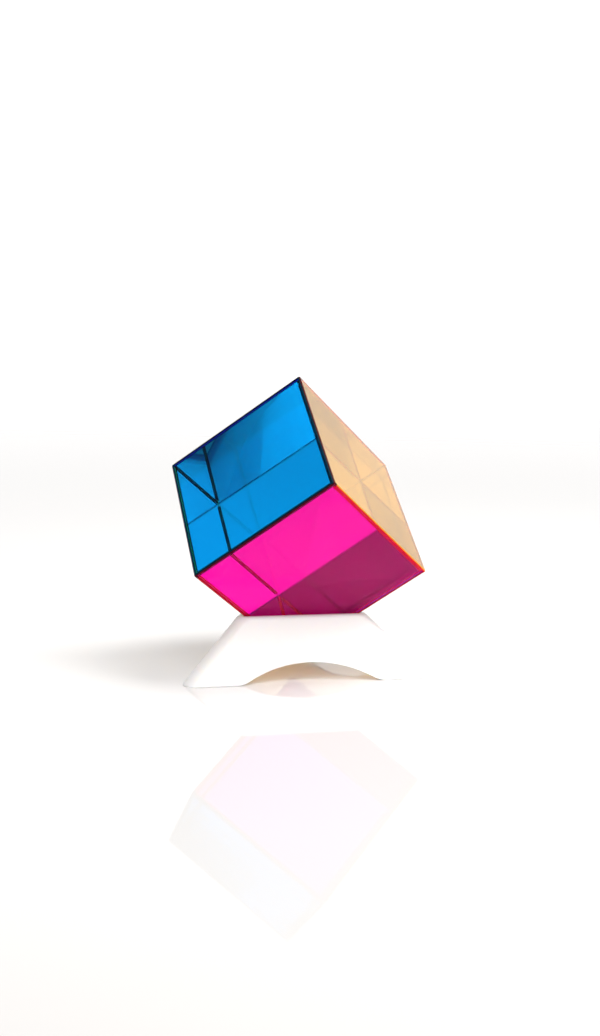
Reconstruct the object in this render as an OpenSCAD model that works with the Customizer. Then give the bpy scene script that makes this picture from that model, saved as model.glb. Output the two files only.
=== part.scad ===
// Colour-mixing cube standing on one corner in a three-legged stand.
// Millimetres. +Z is up, the table is z = 0, and the Z axis is the cube's upright body diagonal.
// The stand's front wall and the cube's lower magenta face look along -Y.

/* [Cube] */
// Outside length of the cube's edge
cube_edge = 50; // [40:1:60]
// Thickness of each coloured plate
panel_t = 0.8; // [0.6:0.1:1.5]
// Leg of the 45 degree bevel along the cube's outer edges
panel_bevel = 0.5; // [0.3:0.1:0.6]
// Air film between the clear block and a plate
air_film = 0.1; // [0.05:0.05:0.2]
// Bond line between two plates along a mitre
mitre_line = 0.04; // [0.02:0.02:0.1]
// Leg of the bevel along the clear block's edges
core_bevel = 0.15; // [0.1:0.05:0.6]

/* [Stand] */
// Height of the cube's lowest corner above the table
corner_z = 3; // [2:0.5:5]
// Height of the stand's rim
rim_z = 18.1; // [17:0.1:20]
// Distance from the axis to the outside of a wall at the table
foot_reach = 23.8; // [22:0.1:26]
// Distance from the axis to the outside of a wall at the rim
rim_reach = 12.7; // [12.5:0.1:14]
// Thickness of a wall, measured level
wall = 3; // [2.6:0.1:3.4]
// Radius of the stand's upright corners at the table
foot_round = 4.2; // [3.5:0.1:5]
// Radius of the stand's upright corners at the rim
rim_round = 3.1; // [2.5:0.1:4]
// Clearance between the seat and the cube's faces
seat_gap = 0.1; // [0.05:0.05:0.3]

/* [Arches] */
// Height of each arch in the middle
arch_h = 5.5; // [4.5:0.1:7]
// Radius of the arch's curve
arch_r = 42; // [38:1:50]
// Radius that eases the arch into the feet
arch_ease = 8; // [4:1:10]

/* [Hidden] */
$fn = 64;

// Room that cutting shapes reach past what they cut
over = 1;
// Tilt that brings a cube's body diagonal upright, and the turn that puts a face to the front
diagonal_tilt = acos(1 / sqrt(3));
front_turn = 30;
centre_z = corner_z + cube_edge * sqrt(3) / 2;
box_inside = cube_edge - 2 * panel_t;
core_edge = box_inside - 2 * air_film;

// Walls of the stand lean in by this much for each millimetre of height
lean = (foot_reach - rim_reach) / rim_z;
// Inside corner radii, and how many chords each rounded corner has
inner_foot_round = 1.6;
inner_rim_round = 1;
corner_steps = 16;

// Arch outline: centre of the main curve, centre of an easing curve and where the two meet
arch_c = arch_h - arch_r;
ease_x = sqrt(pow(arch_r + arch_ease, 2) - pow(arch_ease - arch_c, 2));
meet_x = ease_x * arch_r / (arch_r + arch_ease);
meet_z = arch_c + (arch_ease - arch_c) * arch_r / (arch_r + arch_ease);

// Turns a cube that is centred on the origin onto its corner, in its place above the stand
module on_corner() {
  translate([0, 0, centre_z])
    rotate([0, 0, front_turn])
      rotate([0, -diagonal_tilt, 0])
        rotate([0, 0, -45])
          children();
}

// Cube centred on the origin, with all twelve edges bevelled by leg
module bevelled_cube(edge, leg) {
  across = (edge - leg) * sqrt(2);
  intersection() {
    cube(edge, center = true);
    rotate([45, 0, 0]) cube([2 * edge, across, across], center = true);
    rotate([0, 45, 0]) cube([across, 2 * edge, across], center = true);
    rotate([0, 0, 45]) cube([across, across, 2 * edge], center = true);
  }
}

// Everything above both planes that climb at 45 degrees from the x axis, or from the y axis when turned
module mitre_wedge(turn) {
  far = 2 * cube_edge;
  translate([0, 0, mitre_line / sqrt(2)])
    rotate([0, 0, turn])
      rotate([45, 0, 0])
        translate([-far / 2, 0, 0])
          cube(far);
}

// Plate on the +Z side of the box, mitred along its four edges
module panel() {
  intersection() {
    bevelled_cube(cube_edge, panel_bevel);
    translate([-cube_edge / 2, -cube_edge / 2, box_inside / 2])
      cube([cube_edge, cube_edge, panel_t]);
    mitre_wedge(0);
    mitre_wedge(90);
  }
}

// Rounded triangle at height z: three corner arcs, each tangent to the two sides beside it
function triangle_ring(reach, round, z) = [
  for (corner = [0:2], step = [0:corner_steps])
    let (out = 90 + 120 * corner, a = out - 60 + 120 * step / corner_steps, c = 2 * (reach - round))
      [c * cos(out) + round * cos(a), c * sin(out) + round * sin(a), z]
];

// Solid between two rings with the same number of points, one above the other
module loft(low, high) {
  n = len(low);
  sides = [for (i = [0:n - 1]) [i, n + i, n + (i + 1) % n, (i + 1) % n]];
  floor_face = [for (i = [0:n - 1]) i];
  top_face = [for (i = [0:n - 1]) 2 * n - 1 - i];
  polyhedron(points = concat(low, high), faces = concat([floor_face], sides, [top_face]));
}

// Outline of an arch: the main curve, eased into the table line at both ends
module arch_outline() {
  difference() {
    union() {
      intersection() {
        translate([0, arch_c]) circle(r = arch_r, $fn = 180);
        translate([-meet_x, -over]) square([2 * meet_x, over + arch_h]);
      }
      polygon([[-ease_x, -over], [ease_x, -over], [ease_x, 0], [meet_x, meet_z], [-meet_x, meet_z], [-ease_x, 0]]);
    }
    for (side = [-1, 1])
      translate([side * ease_x, arch_ease]) circle(r = arch_ease, $fn = 96);
  }
}

// Cuts an arch through one wall, from inside the stand to outside it
module arch_cut() {
  rotate([90, 0, 0])
    linear_extrude(height = foot_reach + over)
      arch_outline();
}

// Walls of the stand before the arches and the seat are cut: outside less inside
module stand_walls() {
  inner_foot = foot_reach - wall;
  inner_rim = rim_reach - wall;
  difference() {
    loft(triangle_ring(foot_reach, foot_round, 0), triangle_ring(rim_reach, rim_round, rim_z));
    loft(triangle_ring(inner_foot + lean * over, inner_foot_round, -over),
         triangle_ring(inner_rim - lean * over, inner_rim_round, rim_z + over));
  }
}

module corner_stand() {
  color("white")
    difference() {
      stand_walls();
      for (side = [0, 120, 240]) rotate([0, 0, side]) arch_cut();
      translate([0, 0, -seat_gap * sqrt(3)]) on_corner() cube(cube_edge, center = true);
    }
}

module clear_core() {
  color([0.92, 0.96, 0.97, 0.4])
    on_corner()
      bevelled_cube(core_edge, core_bevel);
}

module cyan_panel_upper() {
  color([0, 0.62, 0.94, 0.7]) on_corner() panel();
}

module cyan_panel_lower() {
  color([0, 0.62, 0.94, 0.7]) on_corner() rotate([180, 0, 0]) panel();
}

module magenta_panel_upper() {
  color([1, 0.05, 0.62, 0.7]) on_corner() rotate([-90, 0, 0]) panel();
}

module magenta_panel_lower() {
  color([1, 0.05, 0.62, 0.7]) on_corner() rotate([90, 0, 0]) panel();
}

module yellow_panel_upper() {
  color([1, 0.82, 0.45, 0.7]) on_corner() rotate([0, 90, 0]) panel();
}

module yellow_panel_lower() {
  color([1, 0.82, 0.45, 0.7]) on_corner() rotate([0, -90, 0]) panel();
}

corner_stand();
clear_core();
cyan_panel_upper();
cyan_panel_lower();
magenta_panel_upper();
magenta_panel_lower();
yellow_panel_upper();
yellow_panel_lower();
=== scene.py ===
import math
import bpy
import numpy as np
from mathutils import Matrix, Vector


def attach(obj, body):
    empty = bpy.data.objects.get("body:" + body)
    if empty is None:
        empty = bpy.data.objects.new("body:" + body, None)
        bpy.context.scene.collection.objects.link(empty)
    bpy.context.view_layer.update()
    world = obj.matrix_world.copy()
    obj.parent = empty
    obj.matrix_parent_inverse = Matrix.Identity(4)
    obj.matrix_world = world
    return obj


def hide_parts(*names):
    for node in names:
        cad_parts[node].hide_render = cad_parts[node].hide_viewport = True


# Colour-mixing cube on its corner stand. Metres, Z up, table at Z = 0, front towards -Y.
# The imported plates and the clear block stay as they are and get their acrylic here.
# The stand is rebuilt with its moulded, rounded edges.

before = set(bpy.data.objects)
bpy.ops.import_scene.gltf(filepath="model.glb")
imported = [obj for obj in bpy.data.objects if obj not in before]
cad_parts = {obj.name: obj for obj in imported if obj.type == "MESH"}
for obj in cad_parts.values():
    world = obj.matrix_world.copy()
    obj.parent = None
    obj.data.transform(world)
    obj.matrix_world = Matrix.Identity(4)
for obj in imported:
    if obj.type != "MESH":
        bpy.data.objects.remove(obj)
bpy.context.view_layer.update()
mm = 0.001
print("frame loaded, nodes:", sorted(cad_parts))


class Wire:
    # An output socket that can be added, multiplied and so on: each operator adds one Math node.
    def __init__(self, paint, socket):
        self.paint = paint
        self.socket = socket

    def join(self, how, first, second):
        node = self.paint.add("ShaderNodeMath", {"operation": how}, {0: first, 1: second})
        return Wire(self.paint, node.outputs[0])

    def __add__(self, other):
        return self.join("ADD", self, other)

    def __radd__(self, other):
        return self.join("ADD", other, self)

    def __sub__(self, other):
        return self.join("SUBTRACT", self, other)

    def __rsub__(self, other):
        return self.join("SUBTRACT", other, self)

    def __mul__(self, other):
        return self.join("MULTIPLY", self, other)

    def __rmul__(self, other):
        return self.join("MULTIPLY", other, self)

    def __abs__(self):
        return self.join("ABSOLUTE", self, 0)

    def larger(self, other):
        return self.join("MAXIMUM", self, other)

    def smaller(self, other):
        return self.join("MINIMUM", self, other)


class Paint:
    # One material or world. add() makes any node: its settings are set first, then its inputs.
    def __init__(self, owner):
        self.owner = owner
        owner.use_nodes = True
        self.tree = owner.node_tree
        self.tree.nodes.clear()

    def add(self, kind, settings, inputs):
        node = self.tree.nodes.new(kind)
        for key, value in settings.items():
            if key == "stops":
                self.setStops(node.color_ramp, value)
            else:
                setattr(node, key, value)
        for key, value in inputs.items():
            if isinstance(value, Wire):
                self.tree.links.new(value.socket, node.inputs[key])
            else:
                node.inputs[key].default_value = value
        return node

    def out(self, node, key=0):
        return Wire(self, node.outputs[key])

    def setStops(self, ramp, stops):
        while len(ramp.elements) < len(stops):
            ramp.elements.new(0.5)
        for element, (place, colour) in zip(ramp.elements, stops):
            element.position = place
            element.color = (*colour, 1)

    def noise(self, scale, detail, where):
        inputs = {"Vector": where, "Scale": scale, "Detail": detail}
        return self.out(self.add("ShaderNodeTexNoise", {}, inputs), "Fac")

    def dot(self, place, way):
        node = self.add("ShaderNodeVectorMath", {"operation": "DOT_PRODUCT"}, {0: place, 1: way})
        return self.out(node, "Value")

    def blend(self, share, first, second):
        inputs = {0: share, 1: self.out(first), 2: self.out(second)}
        return self.add("ShaderNodeMixShader", {}, inputs)

    def objectPlace(self):
        return self.out(self.add("ShaderNodeTexCoord", {}, {}), "Object")

    def mixColour(self, share, first, second):
        ends = [c if isinstance(c, Wire) else (*c, 1) for c in (first, second)]
        node = self.add("ShaderNodeMix", {"data_type": "RGBA"}, {0: share, 6: ends[0], 7: ends[1]})
        return self.out(node, 2)

    def bump(self, height, strength, depth):
        node = self.add(
            "ShaderNodeBump", {}, {"Height": height, "Strength": strength, "Distance": depth}
        )
        return self.out(node)

    def finish(self, shader, volume=None):
        inputs = {"Surface": self.out(shader)}
        if volume is not None:
            inputs["Volume"] = self.out(volume)
        self.add("ShaderNodeOutputMaterial", {}, inputs)
        return self.owner


def newPaint(name):
    return Paint(bpy.data.materials.new(name))


camera = {
    "reach": 416.09 * mm,      # level distance from the stand's axis
    "bearing": -14.83,         # degrees from -Y towards +X
    "height": 93.9 * mm,
    "heading": 15,             # degrees from +Y towards +X
    "pitch": -6.55,
    "roll": 1.2,
    "viewHeight": 41.46,       # degrees from the frame's top to its bottom
    "nearest": 10 * mm,        # what is nearer than this is not seen
}


def placeCamera(c):
    bearing = math.radians(c["bearing"])
    heading = math.radians(c["heading"])
    pitch = math.radians(c["pitch"])
    lens = bpy.data.cameras.new("camera")
    lens.sensor_fit = "VERTICAL"
    lens.angle = math.radians(c["viewHeight"])
    lens.clip_start = c["nearest"]
    body = bpy.data.objects.new("camera", lens)
    bpy.context.scene.collection.objects.link(body)
    ahead = Vector(
        (math.sin(heading) * math.cos(pitch), math.cos(heading) * math.cos(pitch), math.sin(pitch))
    )
    turn = ahead.to_track_quat("-Z", "Y").to_matrix().to_4x4()
    roll = Matrix.Rotation(math.radians(c["roll"]), 4, "Z")
    place = Vector((math.sin(bearing), -math.cos(bearing), 0)) * c["reach"]
    place.z = c["height"]
    body.matrix_world = Matrix.Translation(place) @ turn @ roll
    bpy.context.scene.camera = body


placeCamera(camera)
print("camera placed")


acrylic = {
    "index": 1.51,
    "plate": 0.8 * mm,              # thickness of a coloured plate
    "reach": 25 * mm,               # from the cube's middle to its faces
    "middle": (0, 0, 46.301 * mm),  # the cube's middle
    "bevel": 0.6 * mm,              # leg of a plate's bevel, with a little of the face beside it
    "mitreSlack": 0.12 * mm,
    "seam": 23.5 * mm,              # from the middle to where the seam along an edge starts
    "soft": 0.04 * mm,              # half the width of the step at a seam or a bevel
    "redSeam": (0.9, 0.05, 0.06),
    "orangeSeam": (0.95, 0.28, 0.02),
    "paintedHighlightSeam": (0.5, 0.3, 0.4),    # between the lower cyan and the upper magenta plate; its pale colour is a painted highlight along that edge
    "darkSeam": (0.012, 0.008, 0.012),  # along the upper cyan plate
    "clear": (0.995, 1, 0.998),
    "gloss": 0.0,                   # roughness of the polished faces
    "smudge": 0.03,                 # extra roughness where they have been handled
    "smudgeScale": 160,
    "smudgeDetail": 3,
    "smudgeStart": 0.5,             # noise level where a smudge is half as strong as it gets
    "smudgeSoft": 0.12,
    "cloudScale": 45,
    "cloudDetail": 2,
    "cloudDark": 0.985,             # the dye's thickest places against its thinnest
    "sawn": 0.4,                    # extra roughness along a plate's edges
    "besideCyan": (0.09, 0.004, 0.006),  # an edge that lies against the upper cyan plate
    "frost": 0.6,                   # share of a plate's edge that is frosted by the saw
    "frostRoughness": 0.5,
    "glue": 0.94,                   # how far a seam covers the clear block
    "glueLess": 0.7,                # by how much less the seam with the painted highlight does
    "glueRoughness": 0.4,
}

# what one plate lets through and the tint of its gloss
dyes = {
    "cyan": {"through": (0.001, 0.59, 0.93), "gloss": (0.02, 0.4, 1)},
    "magenta": {"through": (1, 0.006, 0.63), "gloss": (0.5, 0.02, 0.15)},
    "yellow": {"through": (0.95, 0.72, 0.24), "gloss": (0.7, 0.62, 0.48)},
}
# what a plate's sawn edge lets through
edges = {
    "cyan_panel_upper": (0.001, 0.01, 0.02),
    "cyan_panel_lower": (0.3, 0.004, 0.003),
    "magenta_panel_upper": (0.7, 0.003, 0.004),
    "magenta_panel_lower": (0.9, 0.005, 0.012),
    "yellow_panel_upper": (1, 0.5, 0.05),
    "yellow_panel_lower": (0.5, 0.05, 0.002),
}
faceAxes = {
    "cyan": (-math.sqrt(0.5), -math.sqrt(1 / 6), math.sqrt(1 / 3)),
    "magenta": (0, math.sqrt(2 / 3), math.sqrt(1 / 3)),
    "yellow": (math.sqrt(0.5), -math.sqrt(1 / 6), math.sqrt(1 / 3)),
}


def offMiddle(paint):
    # How far a point is from the cube's middle along each of the three face axes, upwards above 0.
    centred = paint.add(
        "ShaderNodeVectorMath",
        {"operation": "SUBTRACT"},
        {0: paint.objectPlace(), 1: acrylic["middle"]},
    )
    far = {}
    for colour, axis in faceAxes.items():
        far[colour] = paint.dot(paint.out(centred), axis)
    return far


def beyond(paint, distance, limit, soft=acrylic["soft"]):
    # 0 below a limit, 1 above it, with a soft step between.
    step = paint.add(
        "ShaderNodeMapRange",
        {"interpolation_type": "SMOOTHSTEP"},
        {"Value": distance, "From Min": limit - soft, "From Max": limit + soft},
    )
    return paint.out(step)


def sawnEdge(paint, signed, colour):
    # 1 on a plate's mitres, where the way across is as long as the way out, and on its bevels,
    # where the two add up to the cube's reach less the bevel. 0 over its faces.
    far = {c: abs(wire) for c, wire in signed.items()}
    first, second = [far[other] for other in faceAxes if other != colour]
    across = first.larger(second)
    mitre = beyond(paint, across - far[colour], -acrylic["mitreSlack"])
    bevel = beyond(paint, across + far[colour], 2 * acrylic["reach"] - acrylic["bevel"])
    return mitre.larger(bevel)


def polish(paint):
    # Roughness of a handled, polished face: nearly none, with faint smudges.
    noise = paint.noise(acrylic["smudgeScale"], acrylic["smudgeDetail"], paint.objectPlace())
    handled = beyond(paint, noise, acrylic["smudgeStart"], acrylic["smudgeSoft"])
    return acrylic["gloss"] + handled * acrylic["smudge"]


def tintedAcrylic(node, colour):
    # A dyed plate: half of what it takes from the light is taken at its surfaces and half by
    # depth, which makes it a little darker when seen aslant.
    dye = dyes[colour]
    paint = newPaint(node)
    signed = offMiddle(paint)
    sawn = sawnEdge(paint, signed, colour)
    half = [c ** 0.5 for c in dye["through"]]
    cloud = paint.noise(acrylic["cloudScale"], acrylic["cloudDetail"], paint.objectPlace())
    tint = paint.mixColour(cloud, [c * acrylic["cloudDark"] for c in half], half)
    edge = edges[node]
    if colour != "cyan":
        nearCyan = beyond(paint, signed["cyan"], acrylic["seam"])
        edge = paint.mixColour(nearCyan, edge, acrylic["besideCyan"])
    tint = paint.mixColour(sawn, tint, edge)
    glass = paint.add(
        "ShaderNodeBsdfPrincipled",
        {},
        {
            "Base Color": tint,
            "Roughness": polish(paint) + sawn * acrylic["sawn"],
            "IOR": acrylic["index"],
            "Transmission Weight": 1.0,
            "Specular Tint": (*dye["gloss"], 1),
        },
    )
    frosted = paint.add(
        "ShaderNodeBsdfPrincipled",
        {},
        {"Base Color": tint, "Roughness": acrylic["frostRoughness"], "Specular IOR Level": 0.0},
    )
    both = paint.blend(sawn * acrylic["frost"], glass, frosted)
    # how much of each colour is taken per metre, the most taken one setting the density
    taken = [-math.log(h) / acrylic["plate"] for h in half]
    most = max(taken)
    depth = paint.add(
        "ShaderNodeVolumeAbsorption",
        {},
        {"Color": (*[1 - t / most for t in taken], 1), "Density": most},
    )
    return paint.finish(both, depth)


def clearAcrylic(name):
    # Polished and colourless. Along its edges, where the second largest of the three distances from
    # the middle is nearly as large as it can be, sits a thin seam of set dye and glue; the pale
    # one, between the lower cyan and the upper magenta plate, is a painted highlight.
    paint = newPaint(name)
    signed = offMiddle(paint)
    cyan, magenta, yellow = [abs(signed[colour]) for colour in ("cyan", "magenta", "yellow")]
    second = magenta.smaller(yellow).larger(magenta.larger(yellow).smaller(cyan))
    seam = beyond(paint, second, acrylic["seam"])
    tint = paint.mixColour(
        beyond(paint, signed["yellow"], acrylic["seam"]), acrylic["redSeam"], acrylic["orangeSeam"]
    )
    # the seam between the lower cyan and the upper magenta plate is pale and less covered: a
    # painted highlight along that edge
    paintedHighlightSeam = beyond(paint, signed["magenta"] - signed["cyan"], 2 * acrylic["seam"])
    tint = paint.mixColour(paintedHighlightSeam, tint, acrylic["paintedHighlightSeam"])
    tint = paint.mixColour(
        beyond(paint, signed["cyan"], acrylic["seam"]), tint, acrylic["darkSeam"]
    )
    glue = paint.add(
        "ShaderNodeBsdfPrincipled",
        {},
        {"Base Color": tint, "Roughness": acrylic["glueRoughness"], "Specular IOR Level": 0.0},
    )
    glass = paint.add(
        "ShaderNodeBsdfPrincipled",
        {},
        {
            "Base Color": (*acrylic["clear"], 1),
            "Roughness": polish(paint),
            "IOR": acrylic["index"],
            "Transmission Weight": 1.0,
        },
    )
    cover = seam * (acrylic["glue"] - acrylic["glueLess"] * paintedHighlightSeam)
    return paint.finish(paint.blend(cover, glass, glue))


def dress(node, material):
    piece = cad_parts[node]
    piece.data.materials.clear()
    piece.data.materials.append(material)


for node in edges:
    dress(node, tintedAcrylic(node, node.split("_")[0]))
dress("clear_core", clearAcrylic("clearAcrylic"))
print("acrylic done")


# all lengths in millimetres, as in the part's source
stand = {
    "rim": 18.1,                     # height of the rim
    "reach": (23.8, 12.7),           # axis to the outside of a wall, at the table and at the rim
    "cornerRadius": (4.2, 3.1),      # upright corners, at the table and at the rim
    "wall": 3.0,
    "innerRadius": (1.6, 1.0),
    # where the seat's three planes meet: 0.1 mm under the cube's faces, its tip being 3 mm up
    "cubeTip": 3.0 - 0.1 * math.sqrt(3),
    "archHeight": 5.5,
    "archRadius": 42.0,
    "archEase": 8.0,
    # softened edges: outer foot, outer rim, seat top, seat bottom, inner foot
    "edgeRadii": (0.7, 1.1, 0.35, 0.3, 0.6),
    "longestEase": 0.45,             # share of a straight run that a softened edge may take
    # where the rows of points lie along a straight run
    "runPlaces": (0.03, 0.12, 0.35, 0.65, 0.88, 0.97),
    "cornerSteps": 14,
    "sideSteps": 72,
    "filletSteps": 6,
    "footRounds": 20,                # times that a point's height and place are matched
    "seatRounds": 30,
    "leastShare": 0.02,              # how near the seat's top edge may come to the rim's edges
    "colour": (0.9, 0.893, 0.88),
    "flowDark": 0.965,               # the darkest places of the flow shading
    "flow": (60, 2),                 # scale and detail of each noise
    "sheen": (420, 3),
    "grain": (5200, 2),
    "grainStrength": 0.25,
    "grainDepth": 0.01,
    "roughness": 0.32,
    "unevenness": 0.12,              # how much the roughness varies
    "soak": 0.35,                    # share, depth and colours of light that enters the plastic
    "soakDepth": 2.5,
    "soakColours": (1, 0.75, 0.5),
    "paintedInnerLight": (0.3, 0.21, 0.12),       # painted light: a warm emission on the walls' inner sides, in place of light reaching the inside of the stand
    "paintedLightStart": 2.55,               # from a wall's outside inwards to where the painted light starts
    "paintedLightSoft": 0.3,
}
wallAngles = (-90, 30, 150)          # degrees, the way each of the three walls faces


def aroundStand():
    # Outline of a rounded triangle of any size: a point is twice (reach - radius) times a corner
    # vector plus radius times the outward normal. Along a side the corner vector blends from one
    # corner's direction to the next one's while the normal stands still.
    vectors, normals, sides = [], [], []
    arc = np.radians(np.linspace(-60, 60, stand["cornerSteps"]))
    blend = np.linspace(0, 1, stand["sideSteps"] + 2)[1:-1]
    for corner in range(3):
        out = math.radians(90 + 120 * corner)
        following = out + math.radians(120)
        here = np.array([math.cos(out), math.sin(out)])
        there = np.array([math.cos(following), math.sin(following)])
        vectors.append(np.repeat(here[None], len(arc), 0))
        normals.append(np.stack([np.cos(out + arc), np.sin(out + arc)], 1))
        sides.append(np.zeros(len(arc), bool))
        vectors.append((1 - blend)[:, None] * here + blend[:, None] * there)
        wall = out + math.radians(60)
        normals.append(np.repeat(np.array([[math.cos(wall), math.sin(wall)]]), len(blend), 0))
        sides.append(np.ones(len(blend), bool))
    return np.concatenate(vectors), np.concatenate(normals), np.concatenate(sides)


def archHeight(along):
    # Height of the arch at a distance from a wall's middle: the main circle's upper half, then a
    # circle that eases it into the table line, then nothing.
    radius, ease = stand["archRadius"], stand["archEase"]
    middle = stand["archHeight"] - radius
    easeX = math.sqrt((radius + ease) ** 2 - (ease - middle) ** 2)
    meetX = easeX * radius / (radius + ease)
    far = np.abs(along)
    main = middle + np.sqrt(np.maximum(radius**2 - far**2, 0))
    eased = ease - np.sqrt(np.maximum(ease**2 - (far - easeX) ** 2, 0))
    return np.where(far < meetX, main, np.where(far < easeX, eased, 0.0))


def seatReach(flat):
    # Largest distance of a level point from the axis, measured square to any of the three walls.
    angles = np.radians(wallAngles)
    return np.max(flat @ np.stack([np.cos(angles), np.sin(angles)]), 1)


def standCorners():
    # The five corners of the wall's section at every place around the stand: outer foot, outer
    # rim, seat top, seat bottom and inner foot.
    vectors, normals, sides = aroundStand()
    rim = stand["rim"]
    lean = (stand["reach"][0] - stand["reach"][1]) / rim

    def ring(height, inset, radii):
        reach = stand["reach"][0] - inset - lean * height
        radius = radii[0] + (radii[1] - radii[0]) * height / rim
        return 2 * (reach - radius)[:, None] * vectors + radius[:, None] * normals

    def foot(inset, radii):
        height = np.zeros(len(vectors))
        tangents = np.stack([-normals[:, 1], normals[:, 0]], 1)
        for _ in range(stand["footRounds"]):
            along = np.sum(ring(height, inset, radii) * tangents, 1)
            height = np.where(sides, archHeight(along), 0.0)
        return np.column_stack([ring(height, inset, radii), height])

    outer, inner = stand["cornerRadius"], stand["innerRadius"]
    top = np.full(len(vectors), rim)
    outerRim = np.column_stack([ring(top, 0, outer), top])
    height = top.copy()
    for _ in range(stand["seatRounds"]):
        # the seat's plane climbs the square root of 2 for each millimetre outwards
        seat = stand["cubeTip"] + math.sqrt(2) * seatReach(ring(height, stand["wall"], inner))
        height = (height + np.minimum(seat, rim)) / 2
    seatBottom = np.column_stack([ring(height, stand["wall"], inner), height])
    outerReach, innerReach = seatReach(outerRim[:, :2]), seatReach(seatBottom[:, :2])
    rimReach = (rim - stand["cubeTip"]) / math.sqrt(2)
    share = (outerReach - rimReach) / (outerReach - innerReach)
    share = np.clip(share, stand["leastShare"], 1 - stand["leastShare"])[:, None]
    seatTop = np.column_stack([(1 - share) * outerRim[:, :2] + share * seatBottom[:, :2], top])
    return np.stack([foot(0, outer), outerRim, seatTop, seatBottom, foot(stand["wall"], inner)])


def roundedSection(corners):
    # Joins the corners with straight runs and turns each corner with the curve
    # (1-t)^2 start + 2t(1-t) corner + t^2 end, which starts and ends a radius away from it.
    t = np.linspace(0, 1, stand["filletSteps"])[:, None, None]
    runs = np.array(stand["runPlaces"])[:, None, None]
    count = len(corners)
    starts, ends = [], []
    for i, radius in enumerate(stand["edgeRadii"]):
        for other, found in ((corners[i - 1], starts), (corners[(i + 1) % count], ends)):
            way = other - corners[i]
            length = np.linalg.norm(way, axis=1, keepdims=True)
            found.append(corners[i] + way * np.minimum(radius / length, stand["longestEase"]))
    rows = []
    for i in range(count):
        rows.append((1 - t) ** 2 * starts[i] + 2 * t * (1 - t) * corners[i] + t**2 * ends[i])
        rows.append((1 - runs) * ends[i] + runs * starts[(i + 1) % count])
    return np.concatenate(rows)


def gridMesh(name, grid):
    # A surface from a grid of points that closes on itself both ways.
    rows, columns = grid.shape[:2]
    index = np.arange(rows * columns).reshape(rows, columns)
    below, right = np.roll(index, -1, 0), np.roll(index, -1, 1)
    corner = np.roll(below, -1, 1)
    quads = np.stack([index, right, corner, below], -1).reshape(-1, 4)
    mesh = bpy.data.meshes.new(name)
    mesh.vertices.add(rows * columns)
    mesh.vertices.foreach_set("co", grid.reshape(-1).astype(np.float32))
    mesh.loops.add(quads.size)
    mesh.loops.foreach_set("vertex_index", quads.reshape(-1).astype(np.int32))
    mesh.polygons.add(len(quads))
    mesh.polygons.foreach_set("loop_start", np.arange(0, quads.size, 4, dtype=np.int32))
    mesh.update(calc_edges=True)
    mesh.validate()
    mesh.shade_smooth()
    piece = bpy.data.objects.new(name, mesh)
    bpy.context.scene.collection.objects.link(piece)
    return piece


def insideStand(paint):
    # 1 on the inner sides of the walls, 0 outside: the largest of a point's distances from the
    # axis, square to the three walls, plus the wall's lean up to that height, is held against a
    # depth inside the wall's outer face. This is where the painted light goes.
    place = paint.objectPlace()
    reaches = []
    for angle in wallAngles:
        way = (math.cos(math.radians(angle)), math.sin(math.radians(angle)), 0)
        reaches.append(paint.dot(place, way))
    height = paint.out(paint.add("ShaderNodeSeparateXYZ", {}, {0: place}), "Z")
    lean = (stand["reach"][0] - stand["reach"][1]) / stand["rim"]
    out = reaches[0].larger(reaches[1]).larger(reaches[2]) + height * lean
    start = (stand["reach"][0] - stand["paintedLightStart"]) * mm
    return 1 - beyond(paint, out, start, stand["paintedLightSoft"] * mm)


def standPlastic():
    # Satin moulded plastic: faint flow shading, slightly uneven gloss and a very fine grain, with
    # painted light glowing on the walls' inner sides.
    paint = newPaint("standPlastic")
    place = paint.objectPlace()
    flow, sheen, grain = [paint.noise(*stand[key], place) for key in ("flow", "sheen", "grain")]
    darker = [c * stand["flowDark"] for c in stand["colour"]]
    smoothest = stand["roughness"] - stand["unevenness"] / 2
    plastic = paint.add(
        "ShaderNodeBsdfPrincipled",
        {},
        {
            "Base Color": paint.mixColour(flow, darker, stand["colour"]),
            "Roughness": smoothest + stand["unevenness"] * sheen,
            "Normal": paint.bump(grain, stand["grainStrength"], stand["grainDepth"] * mm),
            # painted light: the inner sides of the walls glow warm, though they are no lamp
            "Emission Color": paint.mixColour(insideStand(paint), (0, 0, 0), stand["paintedInnerLight"]),
            "Emission Strength": 1.0,
            "Subsurface Weight": stand["soak"],
            "Subsurface Radius": stand["soakColours"],
            "Subsurface Scale": stand["soakDepth"] * mm,
        },
    )
    return paint.finish(plastic)


standShell = gridMesh("moulded_stand", roundedSection(standCorners()) * mm)
standShell.data.materials.append(standPlastic())
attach(standShell, "stand")
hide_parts("corner_stand")
print("stand done")


stage = {
    "floorSize": 8.0,
    "floorColour": (0.88, 0.875, 0.87),
    "floorRoughness": 0.03,
    "floorIndex": 1.45,
    "skyStrength": 1.17,
    "skyOnMatt": 0.35,               # its strength on matt surfaces
    "lampAim": 30 * mm,              # height that the lamps point at
    "bounces": 24,                   # times that light goes on, through glass above all
    "glossyBounces": 16,
    # colour by the sine of the height above the horizon
    "sky": [
        (0.0, (1, 0.99, 0.985)),
        (0.32, (1, 0.99, 0.985)),
        (0.5, (0.1, 0.07, 0.06)),
        (1.0, (0.12, 0.1, 0.09)),
    ],
}


def makeFloor():
    # A level, glossy square with its middle under the stand.
    half = stage["floorSize"] / 2
    mesh = bpy.data.meshes.new("floor")
    mesh.from_pydata(
        [(-half, -half, 0), (half, -half, 0), (half, half, 0), (-half, half, 0)], [], [(0, 1, 2, 3)]
    )
    floor = bpy.data.objects.new("floor", mesh)
    bpy.context.scene.collection.objects.link(floor)
    paint = newPaint("tableTop")
    top = paint.add(
        "ShaderNodeBsdfPrincipled",
        {},
        {
            "Base Color": (*stage["floorColour"], 1),
            "Roughness": stage["floorRoughness"],
            "IOR": stage["floorIndex"],
        },
    )
    mesh.materials.append(paint.finish(top))


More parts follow.
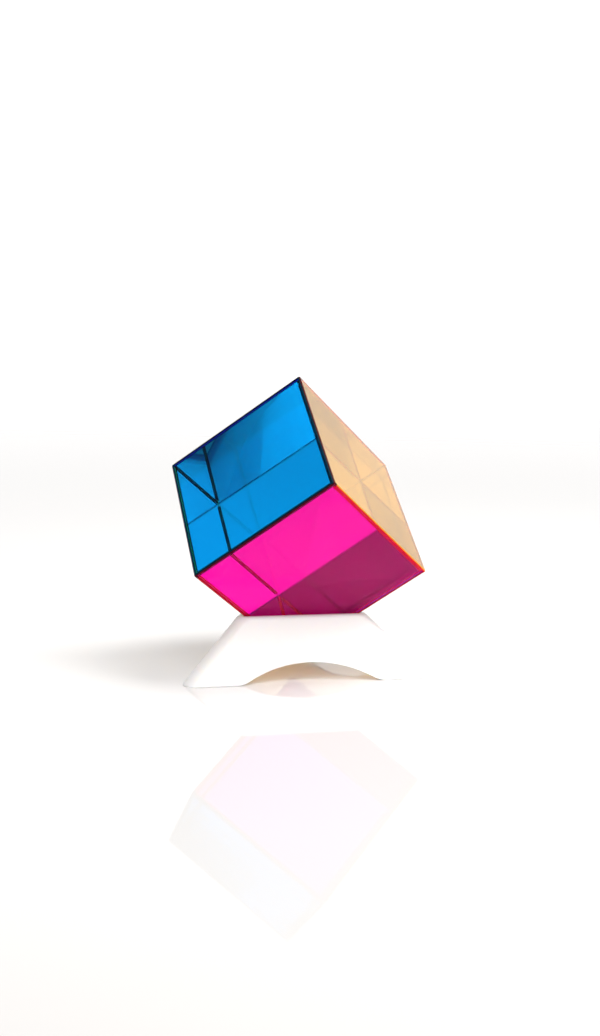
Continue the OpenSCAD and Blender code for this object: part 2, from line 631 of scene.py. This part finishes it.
def makeWorld():
    # Pale all round up to the height of the backdrop, darker and warm above it. Matt surfaces get
    # less of it than the eye does, so that the lamps shape them.
    world = bpy.data.worlds.new("room")
    bpy.context.scene.world = world
    paint = Paint(world)
    place = paint.out(paint.add("ShaderNodeTexCoord", {}, {}), "Generated")
    parts = paint.add("ShaderNodeSeparateXYZ", {}, {0: place})
    sky = paint.add("ShaderNodeValToRGB", {"stops": stage["sky"]}, {0: paint.out(parts, "Z")})
    matt = paint.out(paint.add("ShaderNodeLightPath", {}, {}), "Is Diffuse Ray")
    strength = stage["skyStrength"] - matt * (stage["skyStrength"] - stage["skyOnMatt"])
    light = paint.add("ShaderNodeBackground", {}, {"Color": paint.out(sky), "Strength": strength})
    paint.add("ShaderNodeOutputWorld", {}, {"Surface": paint.out(light)})


def makeLamp(name, lamp):
    # A square lamp of a given width, or a far one that lights the whole table evenly. A hidden
    # lamp lights what is matt and can't be seen in or through glass.
    light = bpy.data.lights.new(name, lamp["kind"])
    if lamp["kind"] == "AREA":
        light.size = lamp["width"]
    else:
        light.angle = math.radians(lamp["width"])
    light.energy = lamp["power"]
    light.color = lamp["colour"]
    holder = bpy.data.objects.new(name, light)
    holder.visible_glossy = holder.visible_transmission = not lamp["hidden"]
    bpy.context.scene.collection.objects.link(holder)
    around, up = math.radians(lamp["around"]), math.radians(lamp["up"])
    away = Vector((math.sin(around) * math.cos(up), -math.cos(around) * math.cos(up), math.sin(up)))
    place = away * lamp["distance"] + Vector((0, 0, stage["lampAim"]))
    holder.matrix_world = (
        Matrix.Translation(place) @ (-away).to_track_quat("-Z", "Y").to_matrix().to_4x4()
    )


# Degrees round from -Y towards +X, degrees up and metres away. A far lamp's width is in degrees.
lamps = {
    "sideLamp": {
        "kind": "AREA", "around": 72, "up": 60, "distance": 0.5, "width": 0.3, "power": 2.6,
        "colour": (1, 0.98, 0.95), "hidden": False,
    },
    "lowLamp": {
        "kind": "AREA", "around": -15, "up": 13, "distance": 1.2, "width": 0.4, "power": 2.2,
        "colour": (1, 0.97, 0.93), "hidden": True,
    },
    "frontLamp": {
        "kind": "SUN", "around": -15, "up": 48, "distance": 1, "width": 60, "power": 2.15,
        "colour": (1, 1, 1), "hidden": False,
    },
}

makeFloor()
makeWorld()
for name, lamp in lamps.items():
    makeLamp(name, lamp)
bpy.context.scene.view_settings.view_transform = "Standard"
bpy.context.scene.cycles.max_bounces = stage["bounces"]
bpy.context.scene.cycles.transmission_bounces = stage["bounces"]
bpy.context.scene.cycles.glossy_bounces = stage["glossyBounces"]
print("stage done")
